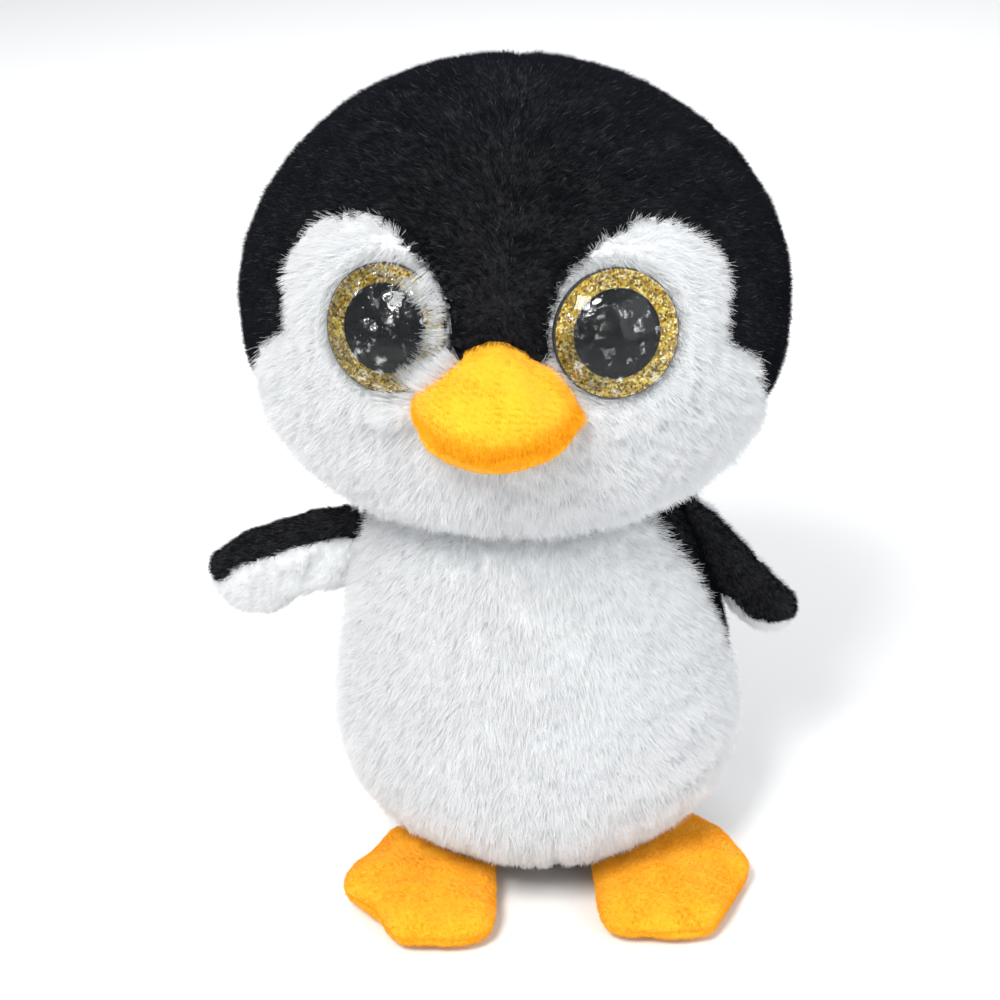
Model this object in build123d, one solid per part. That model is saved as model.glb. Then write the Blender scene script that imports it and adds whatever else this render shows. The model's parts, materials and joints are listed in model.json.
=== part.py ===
"""Plush penguin, about 22 cm tall, standing on its base and two webbed feet.

Millimetres and degrees. The origin is the middle of the flat base, +Z is up and the face looks
along -Y, so the toy's own left side is at +X. Cloth panels are thin closed shells around stuffing.
"""
from build123d import *
from build123d.topology import SkipClean
from math import cos, radians, sin, sqrt
import os

# --- cloth and clearances -------------------------------------------------------------------
CLOTH = 2.0                 # backing cloth with its pressed pile, on the head and torso
PAD_CLOTH = 1.5             # the same on the wings, feet and beak
BED = 0.1                   # stuffing lies this far inside its cloth
NECK_PLAY = 3.5             # from the lowest point of the head to the dish in the torso
FOOT_PLAY = 2.0             # from the underside of the torso to the top of a foot
FAR = 200.0                 # larger than the toy, for cutting boxes

# --- head -----------------------------------------------------------------------------------
HEAD_CENTRE = (-1.2, 0.0, 162.0)
HEAD_WIDE = 69.4            # half width; the head is an oval turned about its left-right axis
HEAD_ROUND = 61.6           # half height and half depth
HEAD_LEAN = 2.5             # the head leans this far towards the toy's left
CHEEK_BACK_Y = -27.0        # where the eye-patch seam ends and the cheek seam starts
CHEEK_TOP_Z = -8.0
CHEEK_SLOPE = 40.0          # fall of the cheek seam towards the back of the neck
LOBE_CENTRE = (31.5, 14.5)  # X and Z of the middle of the round patch about an eye
LOBE_RADIUS = 20.5
CHEEK_NOTCH = (51.0, 8.0)   # where a lobe turns into the cheek
CHEEK_EDGE = (76.0, -18.0)
CROWN_SEAM_Y = 14.0         # the ear-to-ear seam at the crown
CROWN_SEAM_TILT = 9.0

# --- eyes, measured along the eye's own axis from the cloth -----------------------------------
EYE_PLACE = (26.2, 14.4)    # X and Z from the head's centre
LENS_RADIUS = 15.0
LENS_HEIGHT = 6.5
PUPIL_RADIUS = 10.3
IRIS_RADIUS = 14.6
EYE_FIT = 0.1
FOIL = 0.4
BACK_DISC = 1.2
EYE_SINK = 1.0
POST_RADIUS = 2.3
POST_LENGTH = 13.0
POST_FIT = 0.3              # room about the post in the cloth, the stuffing and the washer
RIDGES = 4                  # locking ridges up the post
RIDGE_PITCH = 1.5
RIDGE_THICK = 0.6
RIDGE_RISE = 0.25
WASHER_RADIUS = 9.0
WASHER_TOP = -2.75
WASHER_THICK = 1.4
WASHER_FIT = 0.2            # room about the washer in the stuffing
WASHER_ROOM_ABOVE = 1.2     # from the top of the washer up through the cloth
FILM_GAP = 0.3
FILM = 0.25
FILM_EDGE = 0.4             # the film stops this far inside the lens's rim
FILM_LIFT = 0.6             # and this far above the lens's base
CUT_OVERLAP = 0.01
EYE_CLEAR = 50.0            # length of the cut in front of an eye

# --- beak, from the head's centre -------------------------------------------------------------
BEAK_CENTRE = (-0.3, -61.5, -2.4)
BEAK_WIDE = 17.4
BEAK_ROUND = 14.4
LOWER_BEAK_LESS = 1.2       # the lower beak is this much smaller
MOUTH_Z = -4.6
MOUTH_SLOPE = 14.0

# --- torso ------------------------------------------------------------------------------------
BASE_RADIUS = 20.0
HAUNCH = (43.5, 16.0)       # radius and height of points on the torso's side, from low to high
BULGE = (55.3, 42.0)
WAIST = (51.2, 72.0)
SHOULDER = (45.0, 103.0)
COLLAR = (43.2, 109.0)
RIM = (38.5, 112.0)
BASE_SEAM_RADIUS = 30.0
BASE_PANEL_TOP = 11.0       # the base panel lies below this height
INSET_ACROSS = 0.8          # share of an inset that goes sideways at the haunch and the collar
INSET_UPRIGHT = 0.6         # and the share that goes up or down
BELLY_TURN = -8.0           # the belly panel sits a little towards the toy's right
BELLY_SEAM = (-2.0, 73.0)   # Y and Z of a point on the side seam
BELLY_SEAM_TILT = 23.0
POUCH_CENTRE_Z = 21.0
POUCH_WIDE = 25.0
POUCH_ROUND = 13.0
POUCH_CLOTH = 0.6

# --- closing stitches in the centre back seam -------------------------------------------------
STITCHES = 7
STITCH_PITCH = 4.0
STITCH_FIRST_Z = 44.0
STITCH_LENGTH = 5.0
STITCH_RADIUS = 0.35
STITCH_SLANT = 15.0

# --- neck seam --------------------------------------------------------------------------------
NECK_SEAM_RADIUS = 27.0
NECK_SEAM_THREAD = 0.55

# --- wings ------------------------------------------------------------------------------------
WING_THICK = 12.0
WING_ROOT_RADIUS = 7.0
WING_TIP_RADIUS = 10.3
WING_EDGE = 4.6
# side: hinge point, length direction, direction of the white face, reach beyond the hinge
WINGS = {
    "right": ((-54.4, -4.0, 94.6), (-0.943, 0.0, -0.333), (-0.09, -0.96, -0.26), 35.0),
    "left": ((55.2, -1.3, 92.6), (0.57, 0.30, -0.765), (-0.15, 0.92, 0.25), 31.0),
}

# --- feet -------------------------------------------------------------------------------------
FOOT_THICK = 9.5
FOOT_EDGE = 4.0
FOOT_AXIS = (31.0, -20.0)   # X (either side) and Y of the heel
FOOT_FORWARD = 180.0        # turns an outline that points along +Y to the front
FOOT_HEADING = {"right": 11.0, "left": 32.0}
# the right foot's outline in its own frame, +Y forward: three toe tips with a web between each two
FOOT_OUTLINE = (
    (-15.0, -3.0),
    (-21.5, 14.0),
    (-24.6, 30.5),
    (-13.5, 34.0),
    (-0.8, 39.8),
    (9.0, 29.5),
    (22.0, 20.0),
    (18.0, 6.0),
    (15.5, -9.0),
)
TOE_ROUND = 3.5


def oval(wide, across, centre=(0, 0, 0)):
    """An ellipse turned about its long axis, which lies along X."""
    arc = scale(ThreePointArc((-wide, 0), (0, wide), (wide, 0)), by=(1, across / wide, 1))
    profile = make_face([arc, Line((wide, 0), (-wide, 0))])
    return Pos(*centre) * revolve(profile, Axis.X)


def on_head(shape):
    """Place a shape that was made about the head's centre."""
    return Location(HEAD_CENTRE, (0, HEAD_LEAN, 0)) * shape


def seamed(shape, y=0.0):
    """The same solid with its outer face divided front from back, so that cuts in it stay plain."""
    back, front = split(shape, bisect_by=Plane.XZ.offset(-y), keep=Keep.BOTH).solids()
    return back + front


def right_and_left(shape):
    """The two halves of a panel, the toy's right (-X) first."""
    halves = split(shape, bisect_by=Plane.YZ, keep=Keep.BOTH).solids()
    return halves.sort_by(Axis.X)


def half_space(plane):
    """A large block on the side that the plane's normal points to."""
    return plane * Box(FAR, FAR, FAR, align=(Align.CENTER, Align.CENTER, Align.MIN))


# --- torso --------------------------------------------------------------------------------------
def torso_solid(inset, dish=True):
    """The torso's outside, or a copy that lies inside it by an inset."""
    haunch = (HAUNCH[0] - inset * INSET_ACROSS, HAUNCH[1] + inset * INSET_UPRIGHT)
    bulge, waist, shoulder = ((r - inset, z) for r, z in (BULGE, WAIST, SHOULDER))
    collar = (COLLAR[0] - inset * INSET_ACROSS, COLLAR[1] - inset * INSET_UPRIGHT)
    low = (BASE_RADIUS - inset / 2, inset)
    rim = (RIM[0] - inset, RIM[1] - inset)
    sides = [
        Line((0, inset), low),
        ThreePointArc(low, haunch, bulge),
        ThreePointArc(bulge, waist, shoulder),
        ThreePointArc(shoulder, collar, rim),
        Line(rim, (0, rim[1])),
        Line((0, rim[1]), (0, inset)),
    ]
    body = revolve(Plane.XZ * make_face(sides), Axis.Z)
    if dish:
        body -= Pos(*HEAD_CENTRE) * Sphere(HEAD_ROUND + NECK_PLAY + inset)
    return body


def torso_parts():
    """Belly, two back panels, base, stuffing, bean pouch and its beans, closing stitches."""
    whole = torso_solid(0)
    shell = whole - torso_solid(CLOTH)
    base_cutter = Cylinder(BASE_SEAM_RADIUS, 2 * BASE_PANEL_TOP)
    base = shell & base_cutter
    sides = shell - base_cutter
    seam_y, seam_z = BELLY_SEAM
    seam = Rot(0, 0, BELLY_TURN) * Pos(0, seam_y, seam_z) * Rot(BELLY_SEAM_TILT, 0, 0)
    front = seam * Rot(90, 0, 0) * half_space(Plane.XY)
    belly = sides & front
    back = sides - front
    stitches = closing_stitches(whole)
    back -= stitches
    pouch_centre = (0, 0, POUCH_CENTRE_Z)
    beans = oval(POUCH_WIDE - POUCH_CLOTH, POUCH_ROUND - POUCH_CLOTH, pouch_centre)
    pouch = oval(POUCH_WIDE, POUCH_ROUND, pouch_centre)
    back_right, back_left = right_and_left(back)
    stuffing = torso_solid(CLOTH + BED) - pouch
    return {
        "belly_panel": belly,
        "back_panel_left": back_left,
        "back_panel_right": back_right,
        "base_panel": base,
        "body_stuffing": stuffing,
        "bean_pouch": pouch - beans,
        "bean_fill": beans,
        "closing_stitches": stitches,
    }


def closing_stitches(torso):
    """A row of slanted hand stitches across the centre back seam, half sunk in the pile."""
    rows = []
    for k in range(STITCHES):
        z = STITCH_FIRST_Z + k * STITCH_PITCH
        probe = Line((0, 0, z), (0, FAR, z)) & torso
        bar = Rot(0, 90 - STITCH_SLANT, 0) * Cylinder(STITCH_RADIUS, STITCH_LENGTH)
        rows.append(Pos(0, probe.bounding_box().max.Y, z) * bar)
    return Compound(children=rows)


def neck_seam():
    """The rolled seam that joins the neck opening to the torso, a ring in the dish."""
    middle = HEAD_ROUND + NECK_PLAY - 2 * NECK_SEAM_THREAD
    drop = sqrt(middle**2 - NECK_SEAM_RADIUS**2)
    x, y, z = HEAD_CENTRE
    return Pos(x, y, z - drop) * Torus(NECK_SEAM_RADIUS, NECK_SEAM_THREAD)


# --- head ---------------------------------------------------------------------------------------
def face_outline():
    """The white face seen from the front: a round lobe about each eye, and the cheeks."""
    corners = []
    for hand in (1, -1):
        side = [(hand * CHEEK_NOTCH[0], CHEEK_NOTCH[1]), (hand * CHEEK_EDGE[0], CHEEK_EDGE[1])]
        side.append((hand * CHEEK_EDGE[0], -FAR / 2))
        corners += side if hand > 0 else side[::-1]
    cheeks = make_face(Polyline(*corners, close=True))
    x, z = LOBE_CENTRE
    return cheeks + Pos(x, z) * Circle(LOBE_RADIUS) + Pos(-x, z) * Circle(LOBE_RADIUS)


def face_cutter():
    """The space that the white face takes: the lobes in front, the cheeks below and behind."""
    before = half_space(Plane((0, CHEEK_BACK_Y, 0), z_dir=(0, -1, 0)))
    front = (Plane.XZ * extrude(face_outline(), FAR)) & before
    slope = radians(CHEEK_SLOPE)
    cheek = half_space(Plane((0, CHEEK_BACK_Y, CHEEK_TOP_Z), z_dir=(0, -sin(slope), -cos(slope))))
    return front + (cheek - before)


def eye_plane(side):
    """A plane on the head's surface at an eye, its Z along the eye's axis."""
    x, z = EYE_PLACE
    y = -HEAD_ROUND * sqrt(1 - (x / HEAD_WIDE) ** 2 - (z / HEAD_ROUND) ** 2)
    normal = (side * x / HEAD_WIDE**2, y / HEAD_ROUND**2, z / HEAD_ROUND**2)
    return Plane((side * x, y, z), z_dir=normal)


def raised(shape, z):
    """Lift a shape along the eye's axis."""
    return Pos(0, 0, z) * shape


def disc(radius, thick, z):
    """A disc from a height upwards."""
    return raised(Cylinder(radius, thick, align=(Align.CENTER, Align.CENTER, Align.MIN)), z)


def dome(base_z, grow):
    """The lens's dome, or one that is larger by a growth all round."""
    curve = (LENS_RADIUS**2 + LENS_HEIGHT**2) / (2 * LENS_HEIGHT)
    ball = raised(Sphere(curve + grow), base_z + LENS_HEIGHT - curve)
    return ball & disc(LENS_RADIUS, LENS_HEIGHT + 2 * grow, base_z)


def eye_parts(side, name):
    """One safety eye: dome, glitter ring, pupil, moulded back with its post, washer, film."""
    plane = eye_plane(side)
    back_z = -EYE_SINK
    foil_z = back_z + BACK_DISC
    lens_z = foil_z + FOIL
    post = disc(POST_RADIUS, POST_LENGTH, back_z - POST_LENGTH)
    tip_z = back_z - POST_LENGTH
    ridge = POST_RADIUS + RIDGE_RISE
    ridges = [disc(ridge, RIDGE_THICK, tip_z + RIDGE_PITCH * k) for k in range(1, RIDGES + 1)]
    film = dome(lens_z, FILM_GAP + FILM) - dome(lens_z - CUT_OVERLAP, FILM_GAP)
    film &= disc(LENS_RADIUS - FILM_EDGE, 2 * LENS_HEIGHT, lens_z + FILM_LIFT)
    parts = {
        "eye_lens": dome(lens_z, 0),
        "eye_iris": disc(IRIS_RADIUS, FOIL, foil_z) - disc(PUPIL_RADIUS + EYE_FIT, FOIL, foil_z),
        "eye_pupil": disc(PUPIL_RADIUS, FOIL, foil_z),
        "eye_back": disc(LENS_RADIUS, BACK_DISC, back_z) + post + ridges,
        "eye_washer": disc(WASHER_RADIUS, WASHER_THICK, WASHER_TOP - WASHER_THICK)
        - disc(POST_RADIUS + POST_FIT, WASHER_THICK, WASHER_TOP - WASHER_THICK),
        "eye_film": film,
    }
    return {f"{part}_{name}": plane * shape for part, shape in parts.items()}


def eye_seat(side):
    """What is cut out of the cloth for one eye: the seat of the disc and the post's hole."""
    seat = disc(LENS_RADIUS + EYE_FIT, EYE_CLEAR, -EYE_SINK)
    return eye_plane(side) * (seat + disc(POST_RADIUS + POST_FIT, 2 * POST_LENGTH, -POST_LENGTH - POST_FIT))


def washer_room(side):
    """What is cut out of the stuffing for one eye: the post and the washer."""
    low = WASHER_TOP - WASHER_THICK - WASHER_FIT
    room = disc(WASHER_RADIUS + WASHER_FIT, WASHER_TOP + WASHER_ROOM_ABOVE - low, low)
    post_low = -POST_LENGTH - EYE_SINK - POST_FIT
    return eye_plane(side) * (room + disc(POST_RADIUS + POST_FIT, 2 * POST_LENGTH, post_low))


def beak_parts():
    """Upper and lower beak as cloth shells over one stuffing, cut where they meet the head."""
    x, y, z = BEAK_CENTRE
    slope = radians(MOUTH_SLOPE)
    mouth = half_space(Plane((x, y, MOUTH_Z), z_dir=(0, -sin(slope), cos(slope))))
    head = oval(HEAD_WIDE, HEAD_ROUND)
    upper = oval(BEAK_WIDE, BEAK_ROUND, BEAK_CENTRE) & mouth
    lower = oval(BEAK_WIDE - LOWER_BEAK_LESS, BEAK_ROUND - LOWER_BEAK_LESS, BEAK_CENTRE) - mouth
    less = LOWER_BEAK_LESS + PAD_CLOTH
    core = oval(BEAK_WIDE - less, BEAK_ROUND - less, BEAK_CENTRE)
    with SkipClean():
        stuffing = seamed(core, y) - head
    return {
        "beak_upper": upper - core - head,
        "beak_lower": lower - core - head,
        "beak_stuffing": stuffing,
    }


def head_parts():
    """Five cloth panels, the stuffing, the beak and both eyes, placed as one."""
    shell = oval(HEAD_WIDE, HEAD_ROUND) - oval(HEAD_WIDE - CLOTH, HEAD_ROUND - CLOTH)
    bed = CLOTH + BED
    stuffing = oval(HEAD_WIDE - bed, HEAD_ROUND - bed)
    face = face_cutter()
    white = shell & face
    black = shell - face
    tilt = radians(CROWN_SEAM_TILT)
    crown = half_space(Plane((0, CROWN_SEAM_Y, HEAD_ROUND), z_dir=(0, -cos(tilt), sin(tilt))))
    for side in (-1, 1):
        white -= eye_seat(side)
    with SkipClean():
        stuffing = seamed(stuffing)
        for side in (-1, 1):
            stuffing -= washer_room(side)
    back_right, back_left = right_and_left(black - crown)
    face_right, face_left = right_and_left(white)
    parts = {
        "head_front_cap": black & crown,
        "head_back_left": back_left,
        "head_back_right": back_right,
        "face_left": face_left,
        "face_right": face_right,
        "head_stuffing": stuffing,
    }
    parts |= beak_parts()
    parts |= eye_parts(1, "left")
    parts |= eye_parts(-1, "right")
    return {name: on_head(shape) for name, shape in parts.items()}


# --- wings and feet -----------------------------------------------------------------------------
def pad(outline, thick, edge, inset):
    """A stuffed pad over a flat outline, centred on it, or a copy inside it by an inset."""
    face = offset(outline, amount=-inset) if inset else outline
    solid = extrude(face, amount=thick / 2 - inset, both=True)
    return fillet(solid.edges().group_by(Axis.Z)[0] + solid.edges().group_by(Axis.Z)[-1], edge)


def split_pad(outline, thick, edge):
    """The two cloth halves of a pad, +Z side first, and its stuffing."""
    shell = pad(outline, thick, edge, 0) - pad(outline, thick, edge - PAD_CLOTH, PAD_CLOTH)
    core = pad(outline, thick, edge - PAD_CLOTH - BED, PAD_CLOTH + BED)
    upper = half_space(Plane.XY)
    return shell & upper, shell - upper, core


def wing_outline(reach):
    """A paddle that is round about its hinge and wider at its tip."""
    root = Circle(WING_ROOT_RADIUS)
    tip = Pos(reach - WING_TIP_RADIUS, 0) * Circle(WING_TIP_RADIUS)
    return make_hull(root.edges() + tip.edges())


def wing_parts(side):
    """White inner and black outer cloth and the stuffing of one wing."""
    hinge, along, white_face, reach = WINGS[side]
    white_side, black_side, core = split_pad(wing_outline(reach), WING_THICK, WING_EDGE)
    length = Vector(*along)
    out = length.cross(Vector(*white_face)).cross(length)
    place = Plane(hinge, x_dir=along, z_dir=out)
    return {
        f"wing_inner_{side}": place * white_side,
        f"wing_outer_{side}": place * black_side,
        f"wing_stuffing_{side}": place * core,
    }


def foot_parts(side):
    """Top and sole cloth and the stuffing of one webbed foot, flat on the floor."""
    face = make_face(Polyline(*FOOT_OUTLINE, close=True))
    face = fillet(face.vertices(), TOE_ROUND)
    top, sole, core = split_pad(face, FOOT_THICK, FOOT_EDGE)
    hand = 1 if side == "left" else -1
    x, y = FOOT_AXIS
    heading = FOOT_HEADING[side]
    room = torso_solid(-FOOT_PLAY, dish=False)
    parts = {}
    for name, shape in (("foot_top", top), ("foot_sole", sole), ("foot_stuffing", core)):
        if hand > 0:
            turned = Rot(0, 0, FOOT_FORWARD + heading) * mirror(shape, Plane.YZ)
        else:
            turned = Rot(0, 0, FOOT_FORWARD - heading) * shape
        parts[f"{name}_{side}"] = Pos(hand * x, y, FOOT_THICK / 2) * turned - room
    return parts


def main():
    """Write one STEP file for every piece."""
    parts = torso_parts()
    parts["neck_seam"] = neck_seam()
    parts |= head_parts()
    for side in ("left", "right"):
        parts |= wing_parts(side)
        parts |= foot_parts(side)
    os.makedirs("parts", exist_ok=True)
    for name, shape in parts.items():
        export_step(shape, f"parts/{name}.step")


main()
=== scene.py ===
import json
from math import asin, cos, pi, radians, sin

import bmesh
import bpy
import numpy as np
from mathutils import Matrix, Vector


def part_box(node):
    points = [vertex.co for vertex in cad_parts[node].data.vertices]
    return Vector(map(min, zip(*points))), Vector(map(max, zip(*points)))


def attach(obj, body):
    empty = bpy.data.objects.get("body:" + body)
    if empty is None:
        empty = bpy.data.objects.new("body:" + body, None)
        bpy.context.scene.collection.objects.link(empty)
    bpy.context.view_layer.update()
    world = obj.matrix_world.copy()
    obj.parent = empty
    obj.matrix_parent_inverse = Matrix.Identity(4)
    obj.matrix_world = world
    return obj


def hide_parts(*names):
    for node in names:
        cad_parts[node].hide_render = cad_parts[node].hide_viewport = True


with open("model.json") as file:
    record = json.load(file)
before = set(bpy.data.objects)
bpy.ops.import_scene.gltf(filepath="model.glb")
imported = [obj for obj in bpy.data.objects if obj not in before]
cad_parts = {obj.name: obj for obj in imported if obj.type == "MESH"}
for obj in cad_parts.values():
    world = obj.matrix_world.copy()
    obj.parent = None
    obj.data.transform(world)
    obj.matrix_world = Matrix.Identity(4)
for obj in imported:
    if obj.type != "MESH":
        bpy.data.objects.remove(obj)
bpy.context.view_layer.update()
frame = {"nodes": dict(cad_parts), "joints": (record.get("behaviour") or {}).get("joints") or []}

MM = 0.001
JOINTS = {j["name"]: j for j in frame["joints"]}

# --- the head: an oval about the neck joint, its own axes leaning a little
HEAD = np.array(JOINTS["head_turn"]["pos_m"])
HEAD_RADII = np.array([68.2, 61.2, 60.2]) * MM
NOD = JOINTS["head_nod"]["axis"]
LEAN = -asin(NOD[2])
HEAD_TURN = np.array([[cos(LEAN), 0, sin(LEAN)], [0, 1, 0], [-sin(LEAN), 0, cos(LEAN)]])

# --- the torso: radius over height, flatter front to back
TORSO_DEPTH = 0.94
TORSO_BACK_DEPTH = 1.035
TORSO_Z = np.array([0.0, 1.5, 5.0, 10.0, 16.0, 24.0, 32.0, 42.0, 56.0, 72.0, 88.0, 100.0,
                    109.0, 115.0, 118.5, 120.0]) * MM
TORSO_R = np.array([17.0, 21.0, 27.0, 34.5, 41.2, 47.8, 51.6, 53.2, 52.3, 49.6, 46.7, 44.0,
                    41.4, 37.0, 31.0, 20.0]) * MM
WIDENING = 7  # the first stations, where the torso still grows wider
BELLY_TURN = radians(-8.0)
BELLY_SEAM = (-2.0 * MM, 73.0 * MM)
BELLY_SEAM_SLOPE = 0.42
BASE_R, BASE_TOP = 30.0 * MM, 14.0 * MM
FLOOR_GAP = 0.15 * MM

# --- the white face in the head's own axes, in millimetres: a lobe over each eye and one low body
LOBE_X, LOBE_Z, LOBE_R = 31.5, 14.5, 20.6
CORNER_X, CORNER_Z, CORNER_SLANT = 51.0, 7.0, (26.0, 25.0, 36.07)
BROW_Z, CHIN_Z = 9.0, -60.0
CHEEK_Y, CHEEK_Z, CHEEK_SLOPE = -27.0, -8.0, radians(40.0)
CROWN_Y, CROWN_Z, CROWN_TILT = 14.0, 61.6, radians(9.0)

# --- the beak, in the head's own axes
BEAK_CENTRE = np.array([-0.9, -61.0, -1.8]) * MM
BEAK_MIDDLE = np.array([-0.9, -61.0, -2.0]) * MM
BEAK_UPPER_RADII = (18.8 * MM, 16.6 * MM, 15.0 * MM)
BEAK_LOWER_RADII = (18.8, 15.6, 13.0)
BEAK_FLOOR = -0.36

# --- cloth
HEAD_CLOTH, TORSO_CLOTH, LIMB_CLOTH = 1.6 * MM, 1.5 * MM, 1.2 * MM
PAD_VOXEL = 1.1 * MM
PAD_STEPS = 12
CLOTH_FRAMES, CLOTH_PRESSURE = 16, 3.0
FAR_OFF = 99

WHITE = (0.86, 0.875, 0.885)
NAVY_BLACK = (0.0035, 0.004, 0.0055)
ORANGE = (1.0, 0.46, 0.012)


# ===== mesh helpers
def new_mesh(name, verts, faces):
    """A smooth mesh object from arrays, in metres, in the shared frame."""
    mesh = bpy.data.meshes.new(name)
    mesh.from_pydata([tuple(v) for v in verts], [], [tuple(int(i) for i in f) for f in faces])
    mesh.validate()
    mesh.polygons.foreach_set("use_smooth", [True] * len(mesh.polygons))
    mesh.update()
    piece = bpy.data.objects.new(name, mesh)
    bpy.context.scene.collection.objects.link(piece)
    return piece


def sphere_grid(rows, columns):
    """Unit directions and faces of a ball with poles on Z."""
    up = np.linspace(0, pi, rows + 1)[1:-1]
    round_ = np.linspace(0, 2 * pi, columns, endpoint=False)
    a, b = np.meshgrid(up, round_, indexing="ij")
    ring = np.stack([np.sin(a) * np.cos(b), np.sin(a) * np.sin(b), np.cos(a)], -1).reshape(-1, 3)
    verts = np.vstack([[0, 0, 1], ring, [0, 0, -1]])
    return verts, grid_faces(rows - 1, columns)


def grid_faces(rings, columns):
    """Faces of stacked rings with a fan at each end."""
    faces = []
    last = 1 + rings * columns
    for c in range(columns):
        d = (c + 1) % columns
        faces.append((0, 1 + c, 1 + d))
        faces.append((last, last - columns + d, last - columns + c))
    for r in range(rings - 1):
        faces += ring_quads(1 + r * columns, 1 + (r + 1) * columns, columns)
    return faces


def ring_quads(first, second, columns):
    """Quads between two closed rings of vertices, given each ring's first vertex."""
    pairs = [(c, (c + 1) % columns) for c in range(columns)]
    return [(first + c, second + c, second + d, first + d) for c, d in pairs]


def normals_of(piece):
    """Vertex normals as an array."""
    out = np.zeros(len(piece.data.vertices) * 3, np.float32)
    piece.data.vertex_normals.foreach_get("vector", out)
    return out.reshape(-1, 3).astype(float)


def points_of(piece):
    """Vertex places as an array."""
    out = np.zeros(len(piece.data.vertices) * 3, np.float32)
    piece.data.vertices.foreach_get("co", out)
    return out.reshape(-1, 3).astype(float)


def set_points(piece, points):
    """Write vertex places back."""
    piece.data.vertices.foreach_set("co", points.astype(np.float32).ravel())
    piece.data.update()


def wave_noise(p, scale, seed, octaves=3):
    """Smooth repeatable noise in about -1 to 1, from sums of turned sines."""
    rng = np.random.default_rng(seed)
    total = np.zeros(len(p))
    weight = 0.0
    for k in range(octaves):
        for _ in range(5):
            way = rng.normal(size=3)
            way /= np.linalg.norm(way)
            total += np.sin(p @ way * (2 * pi / scale) * 2**k + rng.uniform(0, 2 * pi)) * 0.6**k
        weight += 5 * 0.6**k * 0.45
    return total / weight


def push(piece, amount):
    """Move each vertex along its normal."""
    set_points(piece, points_of(piece) + normals_of(piece) * np.asarray(amount)[:, None])


OUTER_FACES = {}


def panel(source, name, keep, thick):
    """A closed cloth panel: the faces of a source that keep() picks, given a thickness inward."""
    mesh = source.data
    centre = np.zeros(len(mesh.polygons) * 3, np.float32)
    mesh.polygons.foreach_get("center", centre)
    picked = keep(centre.reshape(-1, 3).astype(float))
    piece = source.copy()
    piece.data = mesh.copy()
    piece.name = name
    bpy.context.scene.collection.objects.link(piece)
    bm = bmesh.new()
    bm.from_mesh(piece.data)
    bm.faces.ensure_lookup_table()
    bmesh.ops.delete(bm, geom=[f for f in bm.faces if not picked[f.index]], context="FACES")
    loose = [f for f in bm.faces if all(len(e.link_faces) == 1 for e in f.edges)]
    bmesh.ops.delete(bm, geom=loose, context="FACES")
    bm.to_mesh(piece.data)
    bm.free()
    OUTER_FACES[name] = len(piece.data.polygons)
    solid = piece.modifiers.new("cloth", "SOLIDIFY")
    solid.thickness = thick
    solid.offset = -1
    apply_modifiers(piece)
    return piece


def apply_modifiers(piece):
    """Replace a piece's mesh by its evaluated one."""
    graph = bpy.context.evaluated_depsgraph_get()
    made = bpy.data.meshes.new_from_object(piece.evaluated_get(graph), depsgraph=graph)
    piece.modifiers.clear()
    piece.data = made


def drop(piece):
    """Remove a construction object."""
    bpy.data.objects.remove(piece)


# ===== shapes and seams
def head_local(p):
    """Points in the head's own axes, about its centre."""
    return (p - HEAD) @ HEAD_TURN


def head_world(q):
    """Back from the head's own axes."""
    return q @ HEAD_TURN.T + HEAD


def face_distance(q):
    """Signed distance, seen from the front, to the white face's outline: below zero is white."""
    x, z = np.abs(q[:, 0]) / MM, q[:, 2] / MM
    lobe = np.hypot(x - LOBE_X, z - LOBE_Z) - LOBE_R
    across, up, length = CORNER_SLANT
    notch = ((x - CORNER_X) * across + (z - CORNER_Z) * up) / length
    low = np.maximum(notch, z - BROW_Z)
    body = np.maximum(low, np.where(x < CORNER_X, CHIN_Z - z, notch))
    return np.minimum(lobe, body)


def cheek_distance(q):
    """Signed distance to the cheek seam, which falls towards the back of the neck."""
    y, z = q[:, 1] / MM, q[:, 2] / MM
    return (y - CHEEK_Y) * sin(CHEEK_SLOPE) + (z - CHEEK_Z) * cos(CHEEK_SLOPE)


def white_distance(q):
    """Below zero on the white face and cheeks."""
    ahead = q[:, 1] / MM < CHEEK_Y
    return np.where(ahead, face_distance(q), cheek_distance(q))


def crown_distance(q):
    """Above zero behind the ear-to-ear seam."""
    y, z = q[:, 1] / MM, q[:, 2] / MM
    return (y - CROWN_Y) * cos(CROWN_TILT) - (z - CROWN_Z) * sin(CROWN_TILT)


def belly_distance(p):
    """Below zero on the belly, above zero on the back panels."""
    turned = p[:, 1] * cos(BELLY_TURN) - p[:, 0] * sin(BELLY_TURN)
    return (turned - BELLY_SEAM[0] - BELLY_SEAM_SLOPE * (BELLY_SEAM[1] - p[:, 2])) / MM


def groove(distance, deep, wide):
    """A seam's dent from the distance to it, in millimetres."""
    return -deep * MM * np.exp(-((distance / wide) ** 2))


def find_eye(side):
    """The middle of an eye's pupil and the way it faces, square to the head's oval."""
    low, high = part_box(f"eye_pupil_{side}")
    spot = np.array((low + high) / 2)
    axis = head_local(spot[None])[0] / HEAD_RADII**2
    return spot, HEAD_TURN @ (axis / np.linalg.norm(axis))


EYES = {side: find_eye(side) for side in ("right", "left")}
BEHIND_EYE = -25 * MM
NOT_NEAR = 1e3


def eye_distance(p):
    """Distance in millimetres from the nearer eye's axis, and the way out from it."""
    best, away = np.full(len(p), 1e9), np.zeros_like(p)
    for spot, axis in EYES.values():
        offset = p - spot
        across = offset - (offset @ axis)[:, None] * axis
        far = np.linalg.norm(across, axis=1) / MM
        far = np.where(offset @ axis < BEHIND_EYE, NOT_NEAR, far)
        near = far < best
        best = np.where(near, far, best)
        away = np.where(near[:, None], across / np.maximum(far[:, None] * MM, 1e-9), away)
    return best, away


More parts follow.
